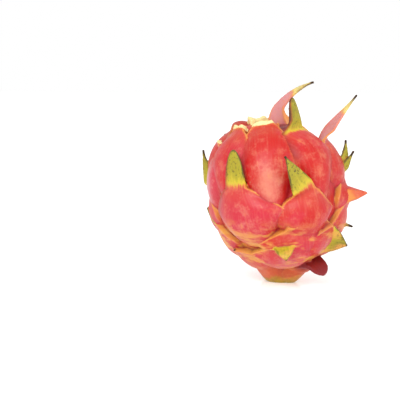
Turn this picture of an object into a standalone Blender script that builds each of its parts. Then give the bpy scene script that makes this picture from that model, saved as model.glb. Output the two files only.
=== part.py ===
"""A dragon fruit, grown as one piece: an egg-shaped body wrapped in fleshy scales, each
ending in a leafy tip. Lengths in this file are millimetres; the mesh is made in metres."""

import math

import bmesh
import bpy
import numpy as np
from mathutils import Vector

# --- driving dimensions, in millimetres and degrees ---

METRE = 0.001
CENTRE = np.array([-2.0, 0.0, 57.0])
LEAN_DEG = 9.0
BODY_RADIUS = 42.0
TOP_HEIGHT = 54.0
BOTTOM_HEIGHT = 49.0
TOP_POWER = 2.35
BOTTOM_POWER = 1.72
WRAP_RADIUS = 47.0
FOOT_REACH = 11.5
FOOT_START_DEG = 5.0
FOOT_SPREAD_DEG = 16.0
CROWN_DIP = 9.0
CROWN_SPREAD_DEG = 15.0
ROOT_DEPTH = 6.0
ROOT_TAPER = 0.65
LIP_HEIGHT = 3.2
RIM_HEIGHT = 0.9
RIM_WIDTH = 1.6
WAVE_HEIGHT = 0.45
WAVE_STEP = 14.0
RAGGED_END = 0.15
LIFT_START = -7.0
LIFT_LENGTH = 12.0
TIP_THIN = 1.7
TIP_NARROW = 0.9
COLUMNS = 10
BODY_ROWS = 14
TIP_ROWS = 12
SKIN_STEP = 0.7
KEPT_FACES = 0.029


def scale(name, azimuth, latitude, drop, wide, swell, length, narrow, **more):
    """One scale. It leaves the body at (azimuth, latitude), runs down it by drop and is
    wide (half width); its free tip has a length and is narrow (half width) at the base."""
    row = {
        "roll": 0.0,
        "aim": 0.0,
        "shift": 0.0,
        "shoulder": 14.0,
        "lean": 20.0,
        "curl": 10.0,
        "bend": 0.0,
        "twist": 0.0,
        "cup": 0.25,
        "thick": 2.6,
        "end": "point",
    }
    row.update(more)
    row.update(
        name=name, azimuth=azimuth, latitude=latitude, drop=drop, wide=wide,
        swell=swell, length=length, narrow=narrow,
    )
    return row


SCALES = [
    # round the crown
    scale("crown_front", -4, 70, 66, 20, 5.0, 3, 8.0, shoulder=30, lean=12, cup=0.1, end="cut"),
    scale(
        "crown_right", 34, 62, 56, 18, 5.5, 20, 7.6,
        shift=9, lean=30, curl=-4, twist=-18, end="round",
    ),
    scale(
        "crown_back_right", 157, 70, 46, 18, 5.0, 38, 7.5,
        aim=22, lean=95, curl=5, bend=-98, thick=3.5, end="thin",
    ),
    scale("crown_back_left", -165, 68, 50, 21, 5.0, 4, 8.0, lean=10, cup=0.1, end="cut"),
    scale("crown_left", -100, 68, 46, 20, 5.0, 23, 7.0, lean=20, curl=-118, thick=3.2, end="round"),
    scale("crown_front_left", -52, 67, 48, 18, 4.5, 4, 6.5, lean=6, cup=0.1, thick=4.5, end="cut"),
    scale("crown_inner_front", -14, 82, 16, 13, 1.0, 3, 9.0, lean=28, cup=0.2, thick=5.0, end="cut"),
    scale("crown_inner_left", -75, 78, 14, 11, 1.0, 4, 5.5, lean=30, cup=0.2, thick=4.5, end="cut"),
    # shoulders
    scale("upper_right", 86, 48, 46, 21, 5.0, 33, 8.5, lean=62, curl=8, twist=-25, end="thin"),
    scale("upper_left", -80, 53, 50, 19, 4.0, 5, 5.0, lean=14, curl=-10, cup=0.15, end="cut"),
    scale("upper_back", 172, 38, 46, 23, 5.0, 22, 8.0, lean=50, curl=30),
    scale("upper_back_left", -145, 42, 46, 21, 5.0, 18, 8.0, lean=45, curl=30),
    # widest part
    scale(
        "middle_front_left", -37, 22, 52, 29, 6.0, 26, 8.5,
        shift=7, aim=3, lean=8, curl=-14, cup=0.1, end="round",
    ),
    scale("middle_front_right", 25, 11, 44, 24, 5.5, 32, 9.0, aim=-30, lean=16, curl=4, cup=0.12),
    scale("middle_right", 91, 15, 42, 22, 4.5, 23, 6.0, lean=18, curl=-8, bend=4, twist=50),
    scale("middle_right_fork", 89, 15, 12, 8, 3.5, 17, 4.0, lean=30, curl=10, bend=12, twist=50),
    scale("middle_left", -98, 18, 48, 23, 4.0, 28, 6.0, lean=8, curl=-6, twist=-60),
    scale("middle_back_right", 145, 12, 44, 24, 5.0, 20, 8.0, lean=30, curl=20),
    scale("middle_back_left", -157, 8, 46, 25, 5.0, 20, 8.0, lean=25, curl=20),
    # below the middle
    scale("low_right", 88, -9, 40, 24, 5.0, 13, 9.0, lean=46, curl=4, thick=19.0),
    scale("low_left", -88, -12, 42, 25, 3.5, 13, 6.5, lean=-4, curl=-8),
    scale("low_fold", 12, -19, 36, 28, 4.0, 3, 7.0, lean=10, cup=0.05, end="cut"),
    scale("low_fold_right", 44, -27, 28, 20, 3.0, 3, 7.0, roll=-17, lean=10, cup=0.05, end="cut"),
    scale("low_back", 178, -18, 40, 26, 5.0, 15, 7.5, lean=30),
    scale("low_back_left", -130, -28, 36, 24, 5.0, 13, 7.0, lean=40),
    # round the stem end
    scale("base_front", 1, -34, 34, 28, 4.5, 8, 7.8, lean=78, curl=40, cup=0.1),
    scale("base_right", 86, -30, 34, 24, 4.5, 5, 5.0, lean=60, curl=20),
    scale("base_front_left", -60, -40, 32, 24, 2.5, 4, 8.0, lean=6, cup=0.1),
    scale("base_back_right", 134, -36, 34, 24, 4.5, 10, 7.0, lean=45),
    scale("foot_right", 58, -40, 28, 22, 4.0, 12, 11.0, roll=88, lean=24, curl=16, thick=3.5),
    scale("foot_side", 50, -64, 20, 16, 3.5, 9, 8.5, roll=-8, lean=58, curl=10, thick=6.0, end="round"),
    scale("foot_left", -120, -56, 18, 18, 2.5, 7, 6.0, lean=50, end="round"),
]


def clear_scene():
    for obj in list(bpy.data.objects):
        bpy.data.objects.remove(obj, do_unlink=True)


def smooth(x):
    x = np.clip(x, 0.0, 1.0)
    return x * x * (3.0 - 2.0 * x)


def lean_matrix():
    """Turns the fruit's own frame, whose axis is Z, to the leaning fruit."""
    lean = math.radians(LEAN_DEG)
    return np.array([
        [math.cos(lean), 0.0, -math.sin(lean)],
        [0.0, 1.0, 0.0],
        [math.sin(lean), 0.0, math.cos(lean)],
    ])


def stand_up(points):
    return points @ lean_matrix().T + CENTRE


def body_radius(unit):
    """How far the body reaches from its centre in each direction: an egg with a foot under
    it and a dip inside the crown of scales."""
    top = smooth((unit[:, 2] + 0.5) / 1.0)
    power = BOTTOM_POWER + (TOP_POWER - BOTTOM_POWER) * top
    half_height = BOTTOM_HEIGHT + (TOP_HEIGHT - BOTTOM_HEIGHT) * top
    across = np.hypot(unit[:, 0], unit[:, 1])
    reach = (across / BODY_RADIUS) ** power + (np.abs(unit[:, 2]) / half_height) ** power
    radius = reach ** (-1.0 / power)
    foot = -CENTRE @ lean_matrix() / np.linalg.norm(CENTRE)
    from_foot = np.degrees(np.arccos(np.clip(unit @ foot, -1.0, 1.0)))
    from_crown = np.degrees(np.arccos(np.clip(unit[:, 2], -1.0, 1.0)))
    radius = radius + FOOT_REACH * (1.0 - smooth((from_foot - FOOT_START_DEG) / FOOT_SPREAD_DEG))
    return radius - CROWN_DIP * (1.0 - smooth((from_crown - 4.0) / CROWN_SPREAD_DEG))


def on_body(unit, height):
    """Points over the body's surface in the given directions, and the outward normals."""
    side = np.cross(unit, np.array([0.31, 0.52, 0.79]))
    side /= np.linalg.norm(side, axis=1)[:, None]
    other = np.cross(unit, side)
    step = 0.02

    def nudged(way):
        turned = unit + way * step
        turned /= np.linalg.norm(turned, axis=1)[:, None]
        return turned * body_radius(turned)[:, None]

    normal = np.cross(nudged(side) - nudged(-side), nudged(other) - nudged(-other))
    normal /= np.linalg.norm(normal, axis=1)[:, None]
    normal *= np.sign(np.sum(normal * unit, axis=1))[:, None]
    return unit * body_radius(unit)[:, None] + normal * height[:, None], normal


def directions(azimuth, latitude, roll):
    """Outward, across and up directions at a place on the body."""
    azimuth, latitude, roll = (math.radians(v) for v in (azimuth, latitude, roll))
    out = np.array([
        math.cos(latitude) * math.sin(azimuth),
        -math.cos(latitude) * math.cos(azimuth),
        math.sin(latitude),
    ])
    east = np.array([math.cos(azimuth), math.sin(azimuth), 0.0])
    north = np.cross(out, east)
    up = north * math.cos(roll) + east * math.sin(roll)
    across = east * math.cos(roll) - north * math.sin(roll)
    return out, across, up


def wrap(place, x, y):
    """Directions of points laid x across and y along the surface from a place."""
    out, across, up = place
    far = np.maximum(np.hypot(x, y), 1e-9)
    angle = far / WRAP_RADIUS
    way = (across * (x / far)[:, None] + up * (y / far)[:, None]) * np.sin(angle)[:, None]
    return out * np.cos(angle)[:, None] + way


def half_width(y, row):
    """Half width of a scale at y along it: narrow root, wide shoulders, tapering tip."""
    drop, wide, narrow = row["drop"], row["wide"], row["narrow"]
    below = np.clip(-y / row["shoulder"], 0.0, 1.0)
    root = np.clip((-y - row["shoulder"]) / max(drop - row["shoulder"], 1.0), 0.0, 1.0)
    hugging = (narrow + (wide - narrow) * below ** 0.8) * (1.0 - ROOT_TAPER * root ** 1.5)
    far = np.clip(y / row["length"], 0.0, 1.0)
    if row["end"] == "point":
        taper = 1.0 - far ** 1.25
    elif row["end"] == "thin":
        taper = (1.0 - far) ** 1.15
    elif row["end"] == "round":
        taper = (1.0 - 0.35 * far) * np.sqrt(1.0 - far ** 4.0)
    else:
        taper = 1.0 - 0.25 * far
    return np.where(y < 0.0, hugging, np.maximum(narrow * taper, TIP_NARROW))


def swelling(s, y, row):
    """Height of a scale over the body: swollen in the middle, with a proud upper lip."""
    down = np.clip(-y / row["drop"], 0.0, 1.0)
    lip = LIP_HEIGHT * (1.0 - smooth((down - 0.30) / 0.35))
    belly = row["swell"] * np.sin(np.pi * down ** 0.8) ** 0.8
    middle = LIP_HEIGHT * (1.0 - smooth((down - 0.45) / 0.55)) + belly
    middle -= 2.0 * smooth((down - 0.85) / 0.15)
    edge = lip - 1.0 * smooth((down - 0.4) / 0.3)
    from_edge = (1.0 - np.abs(s)) * half_width(y, row)
    rim = RIM_HEIGHT * np.exp(-(from_edge / RIM_WIDTH) ** 2) * (1.0 - smooth((down - 0.3) / 0.2))
    wave = WAVE_HEIGHT * np.sin(y / WAVE_STEP * 2.1 + row["azimuth"]) * np.sin(s * 2.6 + row["latitude"])
    return edge + (middle - edge) * (1.0 - np.abs(s) ** 2.4) + rim + wave


def tip_line(ys, row, place):
    """Centre line of the free tip with its across and outward directions at each station."""
    start = np.array([LIFT_START])
    sideways = row["shift"] * np.clip(-start / row["shoulder"], 0.0, 1.0)
    where, normal = on_body(wrap(place, sideways, start), swelling(np.zeros(1), start, row))
    where, normal = where[0], normal[0]
    across = place[1] - normal * np.dot(place[1], normal)
    across /= np.linalg.norm(across)
    up = np.cross(normal, across)
    last = LIFT_START
    line, sides, outs = [], [], []
    for y in ys:
        far = min(max(y / row["length"], 0.0), 1.0)
        lift = float(smooth((y - LIFT_START) / LIFT_LENGTH))
        out_angle = math.radians(row["lean"] * lift + row["curl"] * far ** 0.7)
        aim = math.radians(row["aim"] * lift)
        bend = math.radians(row["bend"] * far ** 0.6)
        turn = math.radians(row["twist"] * lift)
        ahead = up * math.cos(aim) + across * math.sin(aim)
        level = across * math.cos(aim) - up * math.sin(aim)
        rising = ahead * math.cos(out_angle) + normal * math.sin(out_angle)
        heading = rising * math.cos(bend) + level * math.sin(bend)
        aside = level * math.cos(bend) - rising * math.sin(bend)
        facing = np.cross(aside, heading)
        where = where + heading * (y - last)
        last = y
        line.append(where)
        sides.append(aside * math.cos(turn) + facing * math.sin(turn))
        outs.append(facing * math.cos(turn) - aside * math.sin(turn))
    return np.array(line), np.array(sides), np.array(outs)


def distance_along(s, t, row):
    """Distance above a scale's upper edge. A cut tip ends in a ragged line."""
    ragged = 1.0 + RAGGED_END * np.sin(4.3 * s + row["azimuth"]) * (row["end"] == "cut")
    return np.where(t < 0.0, t * row["drop"], t * row["length"] * ragged)


def scale_points(s, t, row):
    """Outer and inner skin points of a scale for places s across and t along it."""
    place = directions(row["azimuth"], row["latitude"], row["roll"])
    y = distance_along(s, t, row)
    wide = half_width(y, row)
    middle = row["shift"] * np.clip(-y / row["shoulder"], 0.0, 1.0)
    unit = wrap(place, middle + s * wide, y)
    hug_outer, _ = on_body(unit, swelling(s, y, row))
    hug_inner, _ = on_body(unit, np.full(len(y), -ROOT_DEPTH))

    stations = np.unique(np.round(y[y > LIFT_START], 6))
    line, sides, outs = tip_line(stations, row, place)
    index = np.clip(np.searchsorted(stations, np.round(y, 6)), 0, len(stations) - 1)
    far = np.clip(y / row["length"], 0.0, 1.0)
    hollow = -row["cup"] * wide * s ** 2
    thick = row["thick"] + (TIP_THIN - row["thick"]) * far ** 0.7
    thick = thick * (1.0 - 0.35 * s ** 2)
    if row["end"] == "cut":
        thick = np.full(len(y), row["thick"])
    free_outer = line[index] + sides[index] * (s * wide)[:, None] + outs[index] * hollow[:, None]
    free_inner = free_outer - outs[index] * thick[:, None]

    free = smooth((y - LIFT_START) / LIFT_LENGTH)[:, None]
    outer = hug_outer * (1.0 - free) + free_outer * free
    inner = hug_inner * (1.0 - free) + free_inner * free
    return outer, inner


def scale_solid(row):
    """One scale as a closed solid: a grid for its outer skin, pushed inward for the inner."""
    rows = BODY_ROWS + max(2, round(TIP_ROWS * min(row["length"] / 24.0, 1.3)))
    body_share = BODY_ROWS / rows
    bm = bmesh.new()
    bmesh.ops.create_grid(bm, x_segments=COLUMNS, y_segments=rows, size=1.0)
    outer = list(bm.verts)
    pushed = bmesh.ops.extrude_face_region(bm, geom=list(bm.faces), use_keep_orig=True)
    inner = [v for v in pushed["geom"] if isinstance(v, bmesh.types.BMVert)]
    for verts, side in ((outer, 0), (inner, 1)):
        s = np.array([v.co.x for v in verts])
        along = np.array([(v.co.y + 1.0) * 0.5 for v in verts])
        t = np.where(
            along < body_share,
            along / body_share - 1.0,
            (along - body_share) / (1.0 - body_share),
        )
        for vert, point in zip(verts, stand_up(scale_points(s, t, row)[side])):
            vert.co = Vector(point * METRE)
    bmesh.ops.recalc_face_normals(bm, faces=bm.faces)
    if bm.calc_volume(signed=True) < 0.0:
        bmesh.ops.reverse_faces(bm, faces=bm.faces)
    return bm


def body_solid():
    """The body under the scales."""
    bm = bmesh.new()
    bmesh.ops.create_icosphere(bm, subdivisions=5, radius=1.0)
    unit = np.array([v.co.normalized() for v in bm.verts])
    points, _ = on_body(unit, np.zeros(len(unit)))
    for vert, point in zip(bm.verts, stand_up(points)):
        vert.co = Vector(point * METRE)
    return bm


def add_object(name, solids, collection):
    """An object that holds the given solids side by side in one mesh."""
    together = bmesh.new()
    for solid in solids:
        mesh = bpy.data.meshes.new(name)
        solid.to_mesh(mesh)
        solid.free()
        together.from_mesh(mesh)
        bpy.data.meshes.remove(mesh)
    mesh = bpy.data.meshes.new(name)
    together.to_mesh(mesh)
    together.free()
    obj = bpy.data.objects.new(name, mesh)
    collection.objects.link(obj)
    return obj


def rind_material():
    """Waxy red rind."""
    material = bpy.data.materials.new("rind")
    material.use_nodes = True
    shader = material.node_tree.nodes["Principled BSDF"]
    shader.inputs["Base Color"].default_value = (0.80, 0.10, 0.11, 1.0)
    shader.inputs["Roughness"].default_value = 0.45
    shader.inputs["Metallic"].default_value = 0.0
    return material


def main():
    clear_scene()
    scene = bpy.context.scene
    fruit_group = bpy.data.collections.new("dragon_fruit")
    helpers = bpy.data.collections.new("helpers")
    scene.collection.children.link(fruit_group)
    scene.collection.children.link(helpers)

    solids = [body_solid()] + [scale_solid(row) for row in SCALES]
    fruit = add_object("dragon_fruit", solids, fruit_group)
    fruit.data.materials.append(rind_material())

    floor = bmesh.new()
    bmesh.ops.create_cube(floor, size=0.2)
    bmesh.ops.translate(floor, verts=floor.verts, vec=(0.0, 0.0, -0.1))
    below = add_object("below_rest_spot", [floor], helpers)
    below.hide_render = True
    below.display_type = "WIRE"

    grow = fruit.modifiers.new("grown_together", "REMESH")
    grow.mode = "VOXEL"
    grow.voxel_size = SKIN_STEP * METRE
    thin_out = fruit.modifiers.new("fewer_faces", "DECIMATE")
    thin_out.ratio = KEPT_FACES
    cut = fruit.modifiers.new("rest_spot", "BOOLEAN")
    cut.operation = "DIFFERENCE"
    cut.solver = "EXACT"
    cut.object = below


main()
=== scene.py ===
# %% [markdown]
# # A dragon fruit
#
# A dragon fruit (pitaya) is the fruit of a climbing cactus. It grows in one piece: an
# egg-shaped body wrapped in fleshy scales, each of which lets go of the body along its
# upper edge and ends in a leafy tip. The CAD model gives the size and the rest spot, and
# this script builds the same fruit from the same measurements with a far finer skin, then
# paints it with one procedural material.
#
# Lengths are millimetres until the mesh is made, because fruit is measured that way.

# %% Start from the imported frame
import math

import bmesh
import bpy
import numpy as np
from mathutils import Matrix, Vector
from mathutils.bvhtree import BVHTree


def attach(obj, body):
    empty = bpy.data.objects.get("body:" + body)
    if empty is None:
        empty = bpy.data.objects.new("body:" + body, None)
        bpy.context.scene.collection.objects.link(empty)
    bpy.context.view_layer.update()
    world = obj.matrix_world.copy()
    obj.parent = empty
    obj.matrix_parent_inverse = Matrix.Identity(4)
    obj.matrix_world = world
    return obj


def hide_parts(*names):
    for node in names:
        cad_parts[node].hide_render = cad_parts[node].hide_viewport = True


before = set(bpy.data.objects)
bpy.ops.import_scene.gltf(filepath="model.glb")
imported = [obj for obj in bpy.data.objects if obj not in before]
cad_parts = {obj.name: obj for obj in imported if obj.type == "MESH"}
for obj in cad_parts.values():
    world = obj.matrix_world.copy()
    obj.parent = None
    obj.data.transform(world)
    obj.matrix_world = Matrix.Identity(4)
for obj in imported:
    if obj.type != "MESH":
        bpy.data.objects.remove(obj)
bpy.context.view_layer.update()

# %% [markdown]
# ## Measurements
#
# The body is an egg described by two radii and how square its ends are. The fruit leans a
# little, and stands on the short foot where it was cut from the plant. Every scale shares
# the heights and lengths below; what differs from scale to scale comes in the next table.

# %% Measurements of the whole fruit
METRE = 0.001
CENTRE = np.array([-2.0, 0.0, 57.0])
LEAN_DEG = 9.0
BODY_RADIUS = 42.0
TOP_HEIGHT = 54.0
BOTTOM_HEIGHT = 49.0
TOP_POWER = 2.35
BOTTOM_POWER = 1.72
WRAP_RADIUS = 47.0
FOOT_REACH = 11.5
FOOT_START_DEG = 5.0
FOOT_SPREAD_DEG = 16.0
CROWN_DIP = 9.0
CROWN_SPREAD_DEG = 15.0
ROOT_DEPTH = 6.0
ROOT_TAPER = 0.65
LIP_HEIGHT = 3.2
RIM_HEIGHT = 0.9
RIM_WIDTH = 1.6
WAVE_HEIGHT = 0.45
WAVE_STEP = 14.0
RAGGED_END = 0.15
LIFT_START = -7.0
LIFT_LENGTH = 12.0
TIP_THIN = 1.7
TIP_NARROW = 0.9

# %% [markdown]
# ## One row for each scale
#
# Scales on a cactus fruit sit in a spiral, so no two are alike. A table with one row per
# scale keeps them easy to read and to move: where the scale leaves the body, how far it
# runs down it, how swollen it is, and how its free tip leans, curls and ends.

# %% The table of scales
def scale(name, azimuth, latitude, drop, wide, swell, length, narrow, **more):
    """One scale. It leaves the body at (azimuth, latitude), runs down it by drop and is
    wide (half width); its free tip has a length and is narrow (half width) at the base."""
    row = {
        "roll": 0.0,
        "aim": 0.0,
        "shift": 0.0,
        "shoulder": 14.0,
        "lean": 20.0,
        "curl": 10.0,
        "bend": 0.0,
        "twist": 0.0,
        "cup": 0.25,
        "thick": 2.6,
        "end": "point",
    }
    row.update(more)
    row.update(
        name=name, azimuth=azimuth, latitude=latitude, drop=drop, wide=wide,
        swell=swell, length=length, narrow=narrow,
    )
    return row


SCALES = [
    # round the crown
    scale("crown_front", -4, 70, 66, 20, 5.0, 3, 8.0, shoulder=30, lean=12, cup=0.1, end="cut"),
    scale(
        "crown_right", 34, 62, 56, 18, 5.5, 20, 7.6,
        shift=9, lean=30, curl=-4, twist=-18, end="round",
    ),
    scale(
        "crown_back_right", 157, 70, 46, 18, 5.0, 38, 7.5,
        aim=22, lean=95, curl=5, bend=-98, thick=3.5, end="thin",
    ),
    scale("crown_back_left", -165, 68, 50, 21, 5.0, 4, 8.0, lean=10, cup=0.1, end="cut"),
    scale("crown_left", -100, 68, 46, 20, 5.0, 23, 7.0, lean=20, curl=-118, thick=3.2, end="round"),
    scale("crown_front_left", -52, 67, 48, 18, 4.5, 4, 6.5, lean=6, cup=0.1, thick=4.5, end="cut"),
    scale("crown_inner_front", -14, 82, 16, 13, 1.0, 3, 9.0, lean=28, cup=0.2, thick=5.0, end="cut"),
    scale("crown_inner_left", -75, 78, 14, 11, 1.0, 4, 5.5, lean=30, cup=0.2, thick=4.5, end="cut"),
    # shoulders
    scale("upper_right", 86, 48, 46, 21, 5.0, 33, 8.5, lean=62, curl=8, twist=-25, end="thin"),
    scale("upper_left", -80, 53, 50, 19, 4.0, 5, 5.0, lean=14, curl=-10, cup=0.15, end="cut"),
    scale("upper_back", 172, 38, 46, 23, 5.0, 22, 8.0, lean=50, curl=30),
    scale("upper_back_left", -145, 42, 46, 21, 5.0, 18, 8.0, lean=45, curl=30),
    # widest part
    scale(
        "middle_front_left", -37, 22, 52, 29, 6.0, 26, 8.5,
        shift=7, aim=3, lean=8, curl=-14, cup=0.1, end="round",
    ),
    scale("middle_front_right", 25, 11, 44, 24, 5.5, 32, 9.0, aim=-30, lean=16, curl=4, cup=0.12),
    scale("middle_right", 91, 15, 42, 22, 4.5, 23, 6.0, lean=18, curl=-8, bend=4, twist=50),
    scale("middle_right_fork", 89, 15, 12, 8, 3.5, 17, 4.0, lean=30, curl=10, bend=12, twist=50),
    scale("middle_left", -98, 18, 48, 23, 4.0, 28, 6.0, lean=8, curl=-6, twist=-60),
    scale("middle_back_right", 145, 12, 44, 24, 5.0, 20, 8.0, lean=30, curl=20),
    scale("middle_back_left", -157, 8, 46, 25, 5.0, 20, 8.0, lean=25, curl=20),
    # below the middle
    scale("low_right", 88, -9, 40, 24, 5.0, 13, 9.0, lean=46, curl=4, thick=19.0),
    scale("low_left", -88, -12, 42, 25, 3.5, 13, 6.5, lean=-4, curl=-8),
    scale("low_fold", 12, -19, 36, 28, 4.0, 3, 7.0, lean=10, cup=0.05, end="cut"),
    scale("low_fold_right", 44, -27, 28, 20, 3.0, 3, 7.0, roll=-17, lean=10, cup=0.05, end="cut"),
    scale("low_back", 178, -18, 40, 26, 5.0, 15, 7.5, lean=30),
    scale("low_back_left", -130, -28, 36, 24, 5.0, 13, 7.0, lean=40),
    # round the stem end
    scale("base_front", 1, -34, 34, 28, 4.5, 8, 7.8, lean=78, curl=40, cup=0.1),
    scale("base_right", 86, -30, 34, 24, 4.5, 5, 5.0, lean=60, curl=20),
    scale("base_front_left", -60, -40, 32, 24, 2.5, 4, 8.0, lean=6, cup=0.1),
    scale("base_back_right", 134, -36, 34, 24, 4.5, 10, 7.0, lean=45),
    scale("foot_right", 58, -40, 28, 22, 4.0, 12, 11.0, roll=88, lean=24, curl=16, thick=3.5),
    scale(
        "foot_side", 50, -64, 20, 16, 3.5, 9, 8.5,
        roll=-8, lean=58, curl=10, thick=6.0, end="round",
    ),
    scale("foot_left", -120, -56, 18, 18, 2.5, 7, 6.0, lean=50, end="round"),
]
print("scales:", len(SCALES))

# %% [markdown]
# ## The body
#
# A function from a direction to a radius describes the egg, its foot and the shallow dip
# inside the crown. It could be sculpted by hand, but a function lets every scale be laid
# on the same surface and keeps the fruit identical to its CAD model.

# %% Body surface
def smooth(x):
    """Rises from 0 to 1 with no corner at either end."""
    x = np.clip(x, 0.0, 1.0)
    return x * x * (3.0 - 2.0 * x)


def lean_matrix():
    """Turns the fruit's own frame, whose axis is Z, to the leaning fruit."""
    lean = math.radians(LEAN_DEG)
    return np.array([
        [math.cos(lean), 0.0, -math.sin(lean)],
        [0.0, 1.0, 0.0],
        [math.sin(lean), 0.0, math.cos(lean)],
    ])


def stand_up(points):
    """Points of the fruit's own frame in the leaning, standing fruit."""
    return points @ lean_matrix().T + CENTRE


def body_radius(unit):
    """How far the body reaches from its centre in each direction: an egg with a foot under
    it and a dip inside the crown of scales."""
    top = smooth((unit[:, 2] + 0.5) / 1.0)
    power = BOTTOM_POWER + (TOP_POWER - BOTTOM_POWER) * top
    half_height = BOTTOM_HEIGHT + (TOP_HEIGHT - BOTTOM_HEIGHT) * top
    across = np.hypot(unit[:, 0], unit[:, 1])
    reach = (across / BODY_RADIUS) ** power + (np.abs(unit[:, 2]) / half_height) ** power
    radius = reach ** (-1.0 / power)
    foot = -CENTRE @ lean_matrix() / np.linalg.norm(CENTRE)
    from_foot = np.degrees(np.arccos(np.clip(unit @ foot, -1.0, 1.0)))
    from_crown = np.degrees(np.arccos(np.clip(unit[:, 2], -1.0, 1.0)))
    radius = radius + FOOT_REACH * (1.0 - smooth((from_foot - FOOT_START_DEG) / FOOT_SPREAD_DEG))
    return radius - CROWN_DIP * (1.0 - smooth((from_crown - 4.0) / CROWN_SPREAD_DEG))


def on_body(unit, height):
    """Points over the body's surface in the given directions, and the outward normals."""
    side = np.cross(unit, np.array([0.31, 0.52, 0.79]))
    side /= np.linalg.norm(side, axis=1)[:, None]
    other = np.cross(unit, side)
    step = 0.02

    def nudged(way):
        turned = unit + way * step
        turned /= np.linalg.norm(turned, axis=1)[:, None]
        return turned * body_radius(turned)[:, None]

    normal = np.cross(nudged(side) - nudged(-side), nudged(other) - nudged(-other))
    normal /= np.linalg.norm(normal, axis=1)[:, None]
    normal *= np.sign(np.sum(normal * unit, axis=1))[:, None]
    return unit * body_radius(unit)[:, None] + normal * height[:, None], normal


print("body radius at the waist, mm:", body_radius(np.array([[1.0, 0.0, 0.0]])))

# %% [markdown]
# ## The scales
#
# Below its upper edge a scale hugs the body and swells in the middle. Above that edge it
# lets go and becomes a free tip, which follows its own curve. Both are worked out from two
# numbers, s across the scale and t along it, and blended where the tip lifts off.

# %% Laying a scale on the body
def directions(azimuth, latitude, roll):
    """Outward, across and up directions at a place on the body."""
    azimuth, latitude, roll = (math.radians(v) for v in (azimuth, latitude, roll))
    out = np.array([
        math.cos(latitude) * math.sin(azimuth),
        -math.cos(latitude) * math.cos(azimuth),
        math.sin(latitude),
    ])
    east = np.array([math.cos(azimuth), math.sin(azimuth), 0.0])
    north = np.cross(out, east)
    up = north * math.cos(roll) + east * math.sin(roll)
    across = east * math.cos(roll) - north * math.sin(roll)
    return out, across, up


def wrap(place, x, y):
    """Directions of points laid x across and y along the surface from a place."""
    out, across, up = place
    far = np.maximum(np.hypot(x, y), 1e-9)
    angle = far / WRAP_RADIUS
    way = (across * (x / far)[:, None] + up * (y / far)[:, None]) * np.sin(angle)[:, None]
    return out * np.cos(angle)[:, None] + way


print("half way round the body, mm:", round(math.pi * WRAP_RADIUS, 1))

# %% Outline and thickness of a scale
def half_width(y, row):
    """Half width of a scale at y along it: narrow root, wide shoulders, tapering tip."""
    drop, wide, narrow = row["drop"], row["wide"], row["narrow"]
    below = np.clip(-y / row["shoulder"], 0.0, 1.0)
    root = np.clip((-y - row["shoulder"]) / max(drop - row["shoulder"], 1.0), 0.0, 1.0)
    hugging = (narrow + (wide - narrow) * below ** 0.8) * (1.0 - ROOT_TAPER * root ** 1.5)
    far = np.clip(y / row["length"], 0.0, 1.0)
    if row["end"] == "point":
        taper = 1.0 - far ** 1.25
    elif row["end"] == "thin":
        taper = (1.0 - far) ** 1.15
    elif row["end"] == "round":
        taper = (1.0 - 0.35 * far) * np.sqrt(1.0 - far ** 4.0)
    else:
        taper = 1.0 - 0.25 * far
    return np.where(y < 0.0, hugging, np.maximum(narrow * taper, TIP_NARROW))


def swelling(s, y, row):
    """Height of a scale over the body: swollen in the middle, with a proud upper lip."""
    down = np.clip(-y / row["drop"], 0.0, 1.0)
    lip = LIP_HEIGHT * (1.0 - smooth((down - 0.30) / 0.35))
    belly = row["swell"] * np.sin(np.pi * down ** 0.8) ** 0.8
    middle = LIP_HEIGHT * (1.0 - smooth((down - 0.45) / 0.55)) + belly
    middle -= 2.0 * smooth((down - 0.85) / 0.15)
    edge = lip - 1.0 * smooth((down - 0.4) / 0.3)
    from_edge = (1.0 - np.abs(s)) * half_width(y, row)
    rim = RIM_HEIGHT * np.exp(-(from_edge / RIM_WIDTH) ** 2) * (1.0 - smooth((down - 0.3) / 0.2))
    wave = np.sin(y / WAVE_STEP * 2.1 + row["azimuth"]) * np.sin(s * 2.6 + row["latitude"])
    wave = wave * WAVE_HEIGHT
    return edge + (middle - edge) * (1.0 - np.abs(s) ** 2.4) + rim + wave


widths = {row["name"]: row["wide"] * 2 for row in SCALES}
widest = max(widths, key=widths.get)
print("widest scale:", widest, widths[widest], "mm")

# %% The free tip and the two faces of a scale
def tip_line(ys, row, place):
    """Centre line of the free tip with its across and outward directions at each station."""
    start = np.array([LIFT_START])
    sideways = row["shift"] * np.clip(-start / row["shoulder"], 0.0, 1.0)
    where, normal = on_body(wrap(place, sideways, start), swelling(np.zeros(1), start, row))
    where, normal = where[0], normal[0]
    across = place[1] - normal * np.dot(place[1], normal)
    across /= np.linalg.norm(across)
    up = np.cross(normal, across)
    last = LIFT_START
    line, sides, outs = [], [], []
    for y in ys:
        far = min(max(y / row["length"], 0.0), 1.0)
        lift = float(smooth((y - LIFT_START) / LIFT_LENGTH))
        out_angle = math.radians(row["lean"] * lift + row["curl"] * far ** 0.7)
        aim = math.radians(row["aim"] * lift)
        bend = math.radians(row["bend"] * far ** 0.6)
        turn = math.radians(row["twist"] * lift)
        ahead = up * math.cos(aim) + across * math.sin(aim)
        level = across * math.cos(aim) - up * math.sin(aim)
        rising = ahead * math.cos(out_angle) + normal * math.sin(out_angle)
        heading = rising * math.cos(bend) + level * math.sin(bend)
        aside = level * math.cos(bend) - rising * math.sin(bend)
        facing = np.cross(aside, heading)
        where = where + heading * (y - last)
        last = y
        line.append(where)
        sides.append(aside * math.cos(turn) + facing * math.sin(turn))
        outs.append(facing * math.cos(turn) - aside * math.sin(turn))
    return np.array(line), np.array(sides), np.array(outs)


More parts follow.
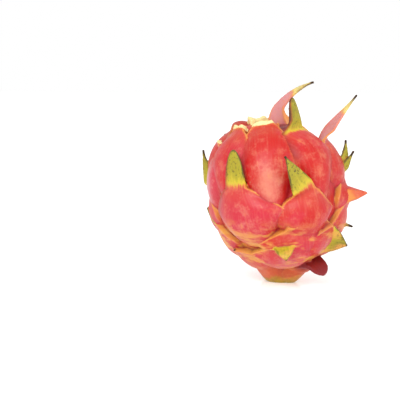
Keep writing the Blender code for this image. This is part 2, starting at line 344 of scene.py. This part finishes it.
def distance_along(s, t, row):
    """Distance above a scale's upper edge. A cut tip ends in a ragged line."""
    ragged = 1.0 + RAGGED_END * np.sin(4.3 * s + row["azimuth"]) * (row["end"] == "cut")
    return np.where(t < 0.0, t * row["drop"], t * row["length"] * ragged)


def scale_points(s, t, row):
    """Outer and inner skin points of a scale for places s across and t along it."""
    place = directions(row["azimuth"], row["latitude"], row["roll"])
    y = distance_along(s, t, row)
    wide = half_width(y, row)
    middle = row["shift"] * np.clip(-y / row["shoulder"], 0.0, 1.0)
    unit = wrap(place, middle + s * wide, y)
    hug_outer, _ = on_body(unit, swelling(s, y, row))
    hug_inner, _ = on_body(unit, np.full(len(y), -ROOT_DEPTH))

    stations = np.unique(np.round(y[y > LIFT_START], 6))
    line, sides, outs = tip_line(stations, row, place)
    index = np.clip(np.searchsorted(stations, np.round(y, 6)), 0, len(stations) - 1)
    far = np.clip(y / row["length"], 0.0, 1.0)
    hollow = -row["cup"] * wide * s ** 2
    thick = row["thick"] + (TIP_THIN - row["thick"]) * far ** 0.7
    thick = thick * (1.0 - 0.35 * s ** 2)
    if row["end"] == "cut":
        thick = np.full(len(y), row["thick"])
    free_outer = line[index] + sides[index] * (s * wide)[:, None] + outs[index] * hollow[:, None]
    free_inner = free_outer - outs[index] * thick[:, None]

    free = smooth((y - LIFT_START) / LIFT_LENGTH)[:, None]
    outer = hug_outer * (1.0 - free) + free_outer * free
    inner = hug_inner * (1.0 - free) + free_inner * free
    return outer, inner


longest = max(SCALES, key=lambda row: row["length"])
print("longest free tip:", longest["name"], longest["length"], "mm")

# %% [markdown]
# ## Colour zones that follow the scales
#
# The rind is red to magenta, goes orange along the edges of the scales, and turns yellow,
# green and at last dry brown towards the tips. Two zones are light painted into the colour:
# a painted highlight where a scale bulges and on some tips, and a painted shade in the
# crown dip, under cut tips and along some edges. Those zones belong to each scale, so they
# are worked out here, while it is still known how far along the scale a point is. The
# material reads them later. Three of them, along, across and edge, are in millimetres, and
# the others mostly run from 0 to 1.

# %% How each scale is coloured
ZONES = (
    "along", "across", "edge", "pink", "pale", "warm", "green", "dry", "spots", "cream", "deep",
)

# pink: from coral red (0) to magenta (1), on the body and, with tip_pink, on the free tip
# pale, pale_at, tip_pale: how strong the painted
# highlight is in its middle, where along the scale, and on the tip
# turn, over: where it starts to turn from red to green, and over how many millimetres
# dry: from which share of the tip it is dry; over 1 it never is
# spots, yellow: how speckled and how yellow its leafy part is
# cream: how many millimetres of pale flesh show at a torn end
# deepen, left_deep: how much painted shade darkens its tip and its left edge
PLAIN_LOOK = {
    "pink": 0.45, "pale": 0.15, "pale_at": -22.0, "tip_pale": 0.0, "turn": 4.0, "over": 10.0,
    "dry": 0.88, "spots": 0.3, "yellow": 0.3, "cream": 0.0, "deepen": 0.0, "left_deep": 0.0,
}
NEVER = 2.0


def look(**more):
    """The colours of one scale, where they differ from the plain ones."""
    its_look = {**PLAIN_LOOK, **more}
    its_look.setdefault("tip_pink", its_look["pink"])
    return its_look


LOOKS = {
    "crown_front": look(pink=0.30, pale=1.0, pale_at=-40.0, turn=50.0, cream=5.0, dry=NEVER),
    "crown_back_left": look(turn=50.0, cream=5.0, dry=NEVER),
    "crown_inner_front": look(turn=50.0, cream=7.0, dry=NEVER),
    "crown_inner_left": look(turn=50.0, cream=7.0, dry=NEVER),
    "crown_right": look(
        pink=0.25, pale=0.2, turn=-6.0, over=6.0, dry=0.97, spots=0.5, left_deep=0.9,
    ),
    "crown_back_right": look(
        pink=0.95, tip_pale=1.0, turn=13.0, over=14.0, dry=0.9, spots=0.4, yellow=0.1,
    ),
    "crown_front_left": look(pink=0.55, pale=0.3, turn=40.0, cream=4.0, dry=NEVER),
    "crown_left": look(pink=0.0, turn=60.0, dry=NEVER, deepen=0.45),
    "upper_right": look(
        pink=0.3, tip_pink=0.9, tip_pale=0.9, pale=0.4, turn=10.0, over=18.0, dry=0.86,
        spots=0.1, yellow=0.6,
    ),
    "upper_left": look(pink=0.9, pale=1.2, pale_at=-24.0, turn=40.0, cream=2.5, dry=NEVER),
    "middle_front_left": look(
        pink=1.0, pale=0.2, turn=-3.0, over=10.0, dry=0.99, spots=0.7, left_deep=0.7,
    ),
    "middle_front_right": look(
        pink=0.4, pale=0.0, turn=-3.0, over=10.0, dry=0.92, spots=0.9, yellow=0.4,
    ),
    "middle_right": look(pink=0.45, pale=0.7, turn=0.0, over=6.0, dry=0.85, spots=0.5),
    "middle_right_fork": look(pink=0.35, turn=-4.0, over=6.0, dry=0.72, spots=0.6),
    "middle_left": look(pink=0.8, turn=-2.0, over=8.0, dry=0.86),
    "low_right": look(
        pink=0.5, pale=0.8, pale_at=-12.0, turn=22.0, over=8.0, dry=NEVER, spots=0.0,
    ),
    "low_left": look(pink=0.7, turn=-3.0, over=6.0, dry=0.95),
    "low_fold_right": look(pink=0.9, pale=0.5, pale_at=-10.0, turn=30.0, dry=NEVER),
    "low_fold": look(pink=0.6, pale=0.2, turn=30.0, dry=NEVER),
    "base_front": look(
        pink=1.0, pale=0.5, pale_at=-16.0, turn=-3.0, over=5.0, dry=0.98, spots=0.5, yellow=0.9,
    ),
    "base_right": look(pink=0.3, turn=-2.0, over=3.0, dry=0.6),
    "base_front_left": look(pink=0.5, pale=0.4, turn=20.0),
    "foot_right": look(pink=0.3, turn=-3.0, over=6.0, dry=0.85, spots=0.7, yellow=0.0),
    "foot_side": look(pink=0.0, turn=12.0, dry=NEVER, deepen=1.0),
}
print("scales with a look of their own:", len(LOOKS), "of", len(SCALES))

# %% Zones of one scale
HIGHLIGHT_LENGTH = 14.0
HIGHLIGHT_WIDTH = 0.55
DRY_FADE = 0.06
INNER_PAINTED_SHADE = 0.8


def zone_values(s, t, row, inner):
    """The colour zones of a scale at places s across and t along it."""
    its_look = LOOKS.get(row["name"], look())
    y = distance_along(s, t, row)
    wide = half_width(y, row)
    far = np.clip(y / row["length"], 0.0, 1.0)
    edge = np.minimum((1.0 - np.abs(s)) * wide, np.maximum(row["length"] - y, 0.0) * 0.5)
    # painted highlight: a pale patch in the middle of the scale, where it bulges towards the light
    middle = np.exp(-((y - its_look["pale_at"]) / HIGHLIGHT_LENGTH) ** 2 - (s / HIGHLIGHT_WIDTH) ** 2)
    to_tip_pink = (its_look["tip_pink"] - its_look["pink"]) * smooth((y + 8.0) / 10.0)
    past = y - its_look["turn"]
    green = 0.5 * smooth(past / its_look["over"]) + 0.5 * smooth(past / (0.85 * row["length"]))
    cut = row["end"] == "cut"
    # painted shade: darker on the inner faces of the torn crown scales and along a shaded left edge
    deep = np.where(inner & (y > LIFT_START), INNER_PAINTED_SHADE, 0.0) if cut else np.zeros(len(s))
    left = smooth((-s - 0.55) / 0.4) * smooth((y + 24.0) / 8.0)
    deep = deep + its_look["left_deep"] * left
    cream = np.zeros(len(s))
    if its_look["cream"] > 0.0:
        cream = np.clip(1.0 + (y - row["length"]) / its_look["cream"], 0.0, 1.0)
    return np.stack([
        y,
        s * wide,
        edge,
        its_look["pink"] + to_tip_pink,
        its_look["pale"] * middle + its_look["tip_pale"] * smooth((y + 6.0) / 8.0),
        smooth((y + 16.0) / 14.0) * (1.0 - green),
        green * (1.0 - 0.45 * its_look["yellow"]),
        smooth((far - its_look["dry"]) / DRY_FADE),
        np.full(len(s), its_look["spots"]),
        cream,
        np.maximum(deep, its_look["deepen"] * smooth((y + 8.0) / 6.0)),
    ], axis=1)


# %% [markdown]
# ## Closed solids, then one skin
#
# Each scale starts as a flat grid. Its points become the outer face, and the same grid
# extruded inward becomes the inner face, which closes the solid. The solids overlap, so a
# voxel remesh grows them into one skin, as they are on the fruit. A Boolean union could do
# it too, but it leaves slivers where thirty scales overlap, and the remesh leaves none.

# %% Solids of the body and the scales
COLUMNS = 24
BODY_ROWS = 40
TIP_ROWS = 30
TIP_ROWS_LENGTH = 24.0
MOST_TIP_ROWS = 1.6


def scale_solid(row):
    """One scale as a closed solid, with its colour zones for each vertex."""
    tip_share = min(row["length"] / TIP_ROWS_LENGTH, MOST_TIP_ROWS)
    rows = BODY_ROWS + max(3, round(TIP_ROWS * tip_share))
    body_share = BODY_ROWS / rows
    bm = bmesh.new()
    bmesh.ops.create_grid(bm, x_segments=COLUMNS, y_segments=rows, size=1.0)
    outer = list(bm.verts)
    pushed = bmesh.ops.extrude_face_region(bm, geom=list(bm.faces), use_keep_orig=True)
    inner = [v for v in pushed["geom"] if isinstance(v, bmesh.types.BMVert)]
    bm.verts.index_update()
    zones = np.zeros((len(bm.verts), len(ZONES)))
    for verts, side in ((outer, 0), (inner, 1)):
        s = np.array([v.co.x for v in verts])
        along = np.array([(v.co.y + 1.0) * 0.5 for v in verts])
        t = np.where(
            along < body_share,
            along / body_share - 1.0,
            (along - body_share) / (1.0 - body_share),
        )
        zones[[v.index for v in verts]] = zone_values(s, t, row, side == 1)
        for vert, point in zip(verts, stand_up(scale_points(s, t, row)[side])):
            vert.co = Vector(point * METRE)
    bmesh.ops.recalc_face_normals(bm, faces=bm.faces)
    if bm.calc_volume(signed=True) < 0.0:
        bmesh.ops.reverse_faces(bm, faces=bm.faces)
    return bm, zones


def body_solid():
    """The body under the scales, with its colour zones for each vertex."""
    bm = bmesh.new()
    bmesh.ops.create_icosphere(bm, subdivisions=6, radius=1.0)
    unit = np.array([v.co.normalized() for v in bm.verts])
    points, _ = on_body(unit, np.zeros(len(unit)))
    for vert, point in zip(bm.verts, stand_up(points)):
        vert.co = Vector(point * METRE)
    zones = np.zeros((len(unit), len(ZONES)))
    zones[:, ZONES.index("along")] = -60.0
    zones[:, ZONES.index("across")] = unit[:, 0] * BODY_RADIUS
    zones[:, ZONES.index("edge")] = 20.0
    zones[:, ZONES.index("pink")] = 0.4
    # painted shade: the dip inside the crown is painted deep red where shade falls in it
    zones[:, ZONES.index("deep")] = smooth((unit[:, 2] - 0.86) / 0.08)
    return bm, zones


solids = [body_solid()] + [scale_solid(row) for row in SCALES]
print("solids:", len(solids), "vertices:", sum(len(bm.verts) for bm, _ in solids))

# %% One skin
SKIN_STEP = 0.62
MOST_TRIANGLES = 188000
SMOOTHING_ROUNDS = 2


def joined_mesh(name, solids):
    """All the solids side by side in one mesh, and their zones in the same order."""
    together = bmesh.new()
    for solid, _ in solids:
        mesh = bpy.data.meshes.new("one_solid")
        solid.to_mesh(mesh)
        solid.free()
        together.from_mesh(mesh)
        bpy.data.meshes.remove(mesh)
    mesh = bpy.data.meshes.new(name)
    bmesh.ops.triangulate(together, faces=together.faces)
    together.to_mesh(mesh)
    together.free()
    return mesh, np.concatenate([zones for _, zones in solids])


def evaluated_copy(obj):
    """The object's mesh as its modifiers leave it."""
    graph = bpy.context.evaluated_depsgraph_get()
    graph.update()
    return bpy.data.meshes.new_from_object(obj.evaluated_get(graph))


source_mesh, source_zones = joined_mesh("scales_side_by_side", solids)
source = bpy.data.objects.new("scales_side_by_side", source_mesh)
bpy.context.scene.collection.objects.link(source)
grow = source.modifiers.new("grown_together", "REMESH")
grow.mode = "VOXEL"
grow.voxel_size = SKIN_STEP * METRE
skin = evaluated_copy(source)
source.modifiers.remove(grow)
print("skin after the remesh:", len(skin.vertices), "vertices")


# %% Thin the skin out, smooth it and cut its rest spot
def settle_skin(mesh):
    """Smooths away the voxel steps and cuts the flat spot that the fruit stands on."""
    bm = bmesh.new()
    bm.from_mesh(mesh)
    for _ in range(SMOOTHING_ROUNDS):
        bmesh.ops.smooth_vert(
            bm, verts=bm.verts, factor=0.5, use_axis_x=True, use_axis_y=True, use_axis_z=True
        )
    cut = bmesh.ops.bisect_plane(
        bm, geom=list(bm.verts) + list(bm.edges) + list(bm.faces),
        plane_co=(0.0, 0.0, 0.0), plane_no=(0.0, 0.0, -1.0), clear_outer=True,
    )
    rim = [e for e in cut["geom_cut"] if isinstance(e, bmesh.types.BMEdge)]
    made = bmesh.ops.holes_fill(bm, edges=rim, sides=0)
    bmesh.ops.triangulate(bm, faces=made["faces"])
    bmesh.ops.recalc_face_normals(bm, faces=bm.faces)
    bm.to_mesh(mesh)
    bm.free()


fruit = bpy.data.objects.new("dragon_fruit_skin", skin)
bpy.context.scene.collection.objects.link(fruit)
thin_out = fruit.modifiers.new("thin_out", "DECIMATE")
thin_out.ratio = min(1.0, MOST_TRIANGLES / sum(len(p.vertices) - 2 for p in skin.polygons))
fruit.data = evaluated_copy(fruit)
fruit.modifiers.clear()
settle_skin(fruit.data)
fruit.data.shade_smooth()
print("skin:", len(fruit.data.vertices), "vertices,", len(fruit.data.polygons), "faces")

# %% [markdown]
# ## Carrying the zones over
#
# A remesh makes new vertices, which know nothing of the scales. Each one looks up the
# nearest triangle of the original scales and blends the zones of its three corners.


# %% Zones for each vertex of the skin
def carry_zones(mesh, source_mesh, source_zones):
    """Gives each vertex of the skin the zones of the nearest place on the scales."""
    corners = np.zeros(len(source_mesh.vertices) * 3)
    source_mesh.vertices.foreach_get("co", corners)
    corners = corners.reshape(-1, 3)
    triangles = np.zeros(len(source_mesh.polygons) * 3, dtype=int)
    source_mesh.polygons.foreach_get("vertices", triangles)
    triangles = triangles.reshape(-1, 3)
    tree = BVHTree.FromPolygons(corners.tolist(), triangles.tolist(), all_triangles=True)
    found = [tree.find_nearest(v.co) for v in mesh.vertices]
    near = np.array([hit[0] for hit in found])
    chosen = triangles[[hit[2] for hit in found]]
    a, b, c = (corners[chosen[:, k]] for k in range(3))
    whole = np.linalg.norm(np.cross(b - a, c - a), axis=1) + 1e-18
    share_a = np.linalg.norm(np.cross(b - near, c - near), axis=1) / whole
    share_b = np.linalg.norm(np.cross(a - near, c - near), axis=1) / whole
    share_c = np.clip(1.0 - share_a - share_b, 0.0, 1.0)
    weights = np.stack([share_a, share_b, share_c], axis=1)
    weights /= weights.sum(axis=1)[:, None]
    values = np.sum(source_zones[chosen] * weights[:, :, None], axis=1)
    for k, zone in enumerate(ZONES):
        layer = mesh.attributes.new(zone, "FLOAT", "POINT")
        layer.data.foreach_set("value", values[:, k].astype(np.float32))
    return values


# %% Depth of the creases
CREASE_ROUNDS = 24


def crease_depth(mesh):
    """How far each vertex lies under, or with a minus over, the smoothed skin, in mm."""
    count = len(mesh.vertices)
    place = np.zeros(count * 3)
    mesh.vertices.foreach_get("co", place)
    place = place.reshape(-1, 3) / METRE
    normal = np.array([v.normal for v in mesh.vertices])
    ends = np.zeros(len(mesh.edges) * 2, dtype=int)
    mesh.edges.foreach_get("vertices", ends)
    first = np.concatenate([ends[0::2], ends[1::2]])
    other = np.concatenate([ends[1::2], ends[0::2]])
    neighbours = np.maximum(np.bincount(first, minlength=count), 1)[:, None]
    soft = place.copy()
    for _ in range(CREASE_ROUNDS):
        near = [np.bincount(first, weights=soft[other, k], minlength=count) for k in range(3)]
        soft = 0.5 * soft + 0.5 * np.stack(near, axis=1) / neighbours
    depth = np.sum((soft - place) * normal, axis=1)
    layer = mesh.attributes.new("crease", "FLOAT", "POINT")
    layer.data.foreach_set("value", depth.astype(np.float32))
    return depth


depth = crease_depth(fruit.data)
print("creases, mm:", np.round(np.percentile(depth, (1, 10, 50, 90, 99)), 2))
zones = carry_zones(fruit.data, source_mesh, source_zones)
bpy.data.objects.remove(source, do_unlink=True)
bpy.data.meshes.remove(source_mesh)
for k, zone in enumerate(ZONES):
    print(zone, round(float(zones[:, k].min()), 2), "to", round(float(zones[:, k].max()), 2))

# %% [markdown]
# ## The rind
#
# The rind of a dragon fruit is a leathery skin with a thin natural wax. Light goes a few
# millimetres into the red flesh under it, so the swollen parts look softly lit from
# within, and the wax gives a broad, faint shine. Its red is mottled with magenta and
# salmon over a centimetre or two, and fine fibres run along each scale.

# %% Colours and a node helper
RIND = {
    "coral": "B00F07",
    "magenta": "B41E30",
    "salmon": "C67660",
    # painted highlight: pale lavender for the highlights on the pinker scales
    "lavender_highlight": "C1868B",
    # painted shade: deep red and maroon stand in for shade in hollows and under tips
    "deep": "8A0A0C",
    "painted_shadow_maroon": "4A080C",
    "orange": "C46C34",
    "amber": "CC9440",
    "yellow": "BCA524",
    "green": "968A1A",
    "olive": "6A5C12",
    "brown": "36240F",
    "cream": "DCC68A",
}


def linear(name):
    """A colour of the rind as linear RGBA."""
    value = [int(RIND[name][k : k + 2], 16) / 255.0 for k in (0, 2, 4)]
    value = [v / 12.92 if v <= 0.04045 else ((v + 0.055) / 1.055) ** 2.4 for v in value]
    return (*value, 1.0)


def add_node(kind, settings, inputs, output=0):
    """Adds a node to the rind and returns one of its outputs. An input is a number, the
    name of a colour of the rind, or the output of another node."""
    node = tree.nodes.new(kind)
    for key, value in settings.items():
        setattr(node, key, value)
    for key, value in inputs.items():
        if isinstance(value, bpy.types.NodeSocket):
            tree.links.new(value, node.inputs[key])
        else:
            node.inputs[key].default_value = linear(value) if isinstance(value, str) else value
    return node.outputs[output]


rind = bpy.data.materials.new("waxy_dragon_fruit_rind")
rind.use_nodes = True
tree = rind.node_tree
shader = tree.nodes["Principled BSDF"]
place = add_node("ShaderNodeTexCoord", {}, {}, "Object")
zone = {
    name: add_node("ShaderNodeAttribute", {"attribute_name": name}, {}, "Fac")
    for name in (*ZONES, "crease")
}
print("zones read by the material:", len(zone))

# %% [markdown]
# ## Arithmetic on zones and patterns
#
# Skin is never one flat colour, and its colours have no clean borders. Each border here is
# a zone pushed to and fro by a pattern. The same two steps are needed dozens of times, so
# each is written once: adding up values by weight, and finding the area past a border.


# %% Weighted sums and stirred areas
def weighted_sum(start, *parts):
    """Adds zones and patterns to a start, each times its own weight."""
    for value, weight in parts:
        start = add_node(
            "ShaderNodeMath", {"operation": "MULTIPLY_ADD"}, {0: value, 1: weight, 2: start}
        )
    return start


def stirred(value, *stirs):
    """A zone pushed to and fro by patterns, which lie around one half."""
    for pattern, push in stirs:
        centred = add_node("ShaderNodeMath", {"operation": "SUBTRACT"}, {0: pattern, 1: 0.5})
        value = weighted_sum(value, (centred, push))
    return value


def area(value, start, full, *stirs):
    """Where a zone has passed a soft border, from 0 at its start to 1 where it is full."""
    return add_node(
        "ShaderNodeMapRange", {"interpolation_type": "SMOOTHSTEP"},
        {0: stirred(value, *stirs), 1: start, 2: full},
    )


# %% Patterns at their real sizes
MM = 1000.0
NOISE_ROUGHNESS = 0.55
STREAK_STRETCH = 0.3
STREAK_SLOPE = 0.3
FIBRE_WIDTH = 1.3
FIBRE_LENGTH = 16.0
FIBRE_SHUFFLE = 37.0

streak_place = add_node("ShaderNodeMapping", {}, {
    "Vector": place,
    "Rotation": (0.0, STREAK_SLOPE, 0.0),
    "Scale": (STREAK_STRETCH, STREAK_STRETCH, 1.0),
})
# Patch size in millimetres, levels of detail, where it is read. Patches and clouds are
# as big as on the fruit. Real pores are far finer, and are drawn coarse so that they show.
NOISES = {
    "patches": (16.0, 3.0, place),
    "clouds": (7.0, 4.0, place),
    "flecks": (1.6, 3.0, place),
    "pores": (0.8, 2.0, place),
    "streaks": (6.0, 3.0, streak_place),
}
patches, clouds, flecks, pores, streaks = (
    add_node(
        "ShaderNodeTexNoise", {},
        {"Vector": where, "Scale": MM / size, "Detail": detail, "Roughness": NOISE_ROUGHNESS},
        "Fac",
    )
    for size, detail, where in NOISES.values()
)
# Fibres follow each scale: fine across it, long along it, and different on every scale.
fibre_place = add_node("ShaderNodeCombineXYZ", {}, {
    "X": weighted_sum(0.0, (zone["across"], 1.0 / FIBRE_WIDTH)),
    "Y": weighted_sum(0.0, (zone["along"], 1.0 / FIBRE_LENGTH)),
    "Z": weighted_sum(0.0, (zone["pink"], FIBRE_SHUFFLE)),
})
fibres = add_node(
    "ShaderNodeTexNoise", {}, {"Vector": fibre_place, "Scale": 1.0, "Detail": 3.0}, "Fac"
)
print("patterns, mm:", {name: size for name, (size, _, _) in NOISES.items()})

# %% Edges, folds and height
RIM_NARROW = 1.0
RIM_SPREAD = 4.0
WATERLINE_WANDER = 14.0

rim_width = weighted_sum(RIM_NARROW, (patches, RIM_SPREAD))
edge_share = add_node("ShaderNodeMath", {"operation": "DIVIDE"}, {0: zone["edge"], 1: rim_width})
to_edge = weighted_sum(1.0, (edge_share, -1.0))
rim = add_node("ShaderNodeMath", {"operation": "MULTIPLY"}, {
    0: area(to_edge, 0.0, 0.9, (flecks, 0.6)),
    1: add_node("ShaderNodeMath", {"operation": "MULTIPLY"}, {
        0: area(zone["along"], -34.0, -10.0),
        1: area(zone["along"], 10.0, 2.0),
    }),
})
turning = stirred(zone["green"], (fibres, 0.5), (clouds, 0.4))
leafy = area(turning, 0.35, 0.8)
ragged = stirred(zone["cream"], (clouds, 0.9))
up = add_node("ShaderNodeSeparateXYZ", {}, {"Vector": place}, "Z")
height_mm = stirred(weighted_sum(0.0, (up, MM)), (clouds, WATERLINE_WANDER))
# painted highlight colour: salmon, turning lavender on the pinker scales
palest = add_node(
    "ShaderNodeMix", {"data_type": "RGBA"},
    {0: area(zone["pink"], 0.6, 0.85), 6: "salmon", 7: "lavender_highlight"}, 2,
)

# %% [markdown]
# ## Painting in layers
#
# The colour is built as a painter would glaze it: a red ground, and thin coats over it,
# each only where its areas overlap. A coat is a row with its colour, its strength and its
# areas. The order matters, because a later coat covers the earlier ones.

# %% Colour of the rind
COATS = (
    # the ripe red skin, pinker or more coral in patches, with a painted highlight, pale salmon on
    # coral scales and lavender on pink ones, where it bulges and on some tips
    ("magenta", 1.0, area(zone["pink"], 0.1, 0.95, (patches, 2.6))),
    (palest, 0.9, area(zone["pale"], 0.05, 1.15, (clouds, 0.9), (flecks, 0.5))),
    ("salmon", 0.3, area(clouds, 0.45, 0.75, (flecks, 0.5))),
    ("salmon", 0.2, area(fibres, 0.45, 0.8)),
    # the edges of the scales and the ridges between them ripen last and stay orange
    ("orange", 0.6, rim),
    ("amber", 0.6, area(rim, 0.55, 1.0)),
    ("orange", 0.45, area(zone["crease"], -0.15, -0.6, (clouds, -0.5))),
    ("orange", 0.15, zone["warm"]),
    # the tips go through orange and yellow to green, and a cream painted highlight lies over
    # them where the painted highlight is strong
    ("orange", 1.0, area(turning, 0.05, 0.3)),
    ("yellow", 1.0, area(turning, 0.15, 0.4)),
    ("green", 1.0, area(turning, 0.35, 0.75)),
    ("olive", 0.85, area(turning, 0.75, 1.15)),
    ("cream", 0.55, area(turning, 0.1, 0.4), area(zone["pale"], 0.3, 1.0)),
    # unripe streaks round the stem end, which is orange and at last green
    ("amber", 0.8, area(streaks, 0.48, 0.6), area(height_mm, 52.0, 34.0)),
    ("orange", 0.5, area(height_mm, 20.0, 9.0)),
    ("green", 0.7, area(height_mm, 7.0, 1.0)),
    # painted shade: deep red in the crown dip, under cut tips, on shaded edges and in the
    # creases, and maroon where the painted shade is darkest
    ("deep", 1.0, zone["deep"]),
    ("painted_shadow_maroon", 0.4, area(zone["deep"], 0.82, 1.0)),
    ("deep", 0.75, area(zone["crease"], 0.05, 0.7)),
    # pale flesh at the torn ends round the crown
    ("orange", 1.0, area(ragged, 0.30, 0.42)),
    ("cream", 1.0, area(ragged, 0.38, 0.5)),
    # speckled, scorched and dried leaf tips
    ("brown", 0.85, area(flecks, 0.54, 0.66), zone["spots"], leafy),
    ("brown", 0.75, area(zone["edge"], 1.0, 0.1, (clouds, -3.0)), leafy),
    ("brown", 1.0, zone["dry"]),
)
colour = "coral"
for coat, strength, *areas in COATS:
    for one_area in areas:
        strength = add_node(
            "ShaderNodeMath", {"operation": "MULTIPLY"}, {0: one_area, 1: strength}
        )
    colour = add_node(
        "ShaderNodeMix", {"data_type": "RGBA"}, {0: strength, 6: colour, 7: coat}, 2
    )
tree.links.new(colour, shader.inputs["Base Color"])
print("coats of colour:", len(COATS))

# %% Shine, depth and relief of the rind
# Fresh wax over a leathery skin: a broad, faint shine that dulls towards the dry tips.
# Red light goes deepest, so the thin edges glow. The fibres stand 0.4 mm high at most.
SMOOTHEST = 0.34
LIGHT_DEPTH = 0.003
RELIEF_HEIGHT = 0.0004
shader.inputs["IOR"].default_value = 1.38
shader.inputs["Subsurface Weight"].default_value = 0.18
shader.inputs["Subsurface Radius"].default_value = (1.0, 0.32, 0.22)
shader.inputs["Subsurface Scale"].default_value = LIGHT_DEPTH
shader.inputs["Coat Weight"].default_value = 0.05
shader.inputs["Coat Roughness"].default_value = 0.35
roughness = weighted_sum(
    SMOOTHEST, (clouds, 0.2), (zone["dry"], 0.3), (area(turning, 0.1, 0.7), 0.12)
)
tree.links.new(roughness, shader.inputs["Roughness"])
height = weighted_sum(0.0, (fibres, 0.9), (pores, 0.25), (clouds, 0.8))
relief = add_node(
    "ShaderNodeBump", {}, {"Strength": 0.6, "Distance": RELIEF_HEIGHT, "Height": height}, "Normal"
)
tree.links.new(relief, shader.inputs["Normal"])

fruit.data.materials.clear()
fruit.data.materials.append(rind)
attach(fruit, "root")
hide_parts("dragon_fruit")
print("nodes in the rind:", len(tree.nodes))

# %% [markdown]
# ## Floor, light and camera
#
# The fruit stands on a white, faintly glossy table top in a bright room. A soft light in
# front and above gives the broad highlights, a weaker one brightens the right side, and the
# white room fills the shadows. A sun would give hard shadows that a ripe fruit on a table
# indoors does not have. The camera stands a little above the fruit and looks slightly down.

# %% Table top
# White melamine laminate, pressed smooth: a clean white with a faint mirror of the fruit.
FLOOR_SIZE = 6.0
LAMINATE_WHITE = 0.92
ROOM_GLOW = 0.3
floor_bm = bmesh.new()
bmesh.ops.create_grid(floor_bm, x_segments=1, y_segments=1, size=FLOOR_SIZE / 2)
floor_mesh = bpy.data.meshes.new("table_top")
floor_bm.to_mesh(floor_mesh)
floor_bm.free()
floor = bpy.data.objects.new("table_top", floor_mesh)
bpy.context.scene.collection.objects.link(floor)
laminate = bpy.data.materials.new("white_laminate")
laminate.use_nodes = True
top = laminate.node_tree.nodes["Principled BSDF"]
top.inputs["Base Color"].default_value = (*[LAMINATE_WHITE] * 3, 1.0)
top.inputs["Roughness"].default_value = 0.08
top.inputs["IOR"].default_value = 1.2
top.inputs["Emission Color"].default_value = (1.0, 1.0, 1.0, 1.0)
top.inputs["Emission Strength"].default_value = ROOM_GLOW
floor_mesh.materials.append(laminate)
print("table top, m:", FLOOR_SIZE)

# %% Lights
WORLD_STRENGTH = 1.0
world = bpy.data.worlds.new("white_room")
world.use_nodes = True
world.node_tree.nodes["Background"].inputs["Color"].default_value = (1.0, 1.0, 1.0, 1.0)
world.node_tree.nodes["Background"].inputs["Strength"].default_value = WORLD_STRENGTH
bpy.context.scene.world = world


def soft_light(name, size, power, location, target):
    """A square area light, size in metres and power in watts, that faces the target."""
    light = bpy.data.lights.new(name, "AREA")
    light.size = size
    light.energy = power
    lamp = bpy.data.objects.new(name, light)
    lamp.location = location
    lamp.rotation_euler = (Vector(target) - Vector(location)).to_track_quat("-Z", "Y").to_euler()
    bpy.context.scene.collection.objects.link(lamp)


MIDDLE = (0.0, 0.0, 0.06)
soft_light("key", 0.45, 9.0, (-0.30, -0.9, 0.75), MIDDLE)
soft_light("fill", 0.8, 3.5, (0.9, -0.5, 0.4), MIDDLE)
print("lights:", len(bpy.data.lights))

# %% Camera
CAMERA_PITCH = 8.0
CAMERA_YAW = 4.19
LENS = 100.0
SENSOR = 36.0
FRAME_WIDTH = 0.28
AIM = Vector((0.0, 0.0, 0.0569))
camera = bpy.data.cameras.new("camera")
camera.lens = LENS
camera.sensor_width = SENSOR
camera.clip_end = 50.0
eye = bpy.data.objects.new("camera", camera)
bpy.context.scene.collection.objects.link(eye)
distance = FRAME_WIDTH * LENS / SENSOR
pitch, yaw = math.radians(CAMERA_PITCH), math.radians(CAMERA_YAW)
eye.location = AIM + Vector((0.0, -math.cos(pitch), math.sin(pitch))) * distance
eye.rotation_euler = (math.radians(90.0) - pitch, 0.0, yaw)
bpy.context.scene.camera = eye
bpy.context.scene.view_settings.view_transform = "Standard"
bpy.context.scene.view_settings.look = "None"
print("camera distance, m:", round(distance, 3))
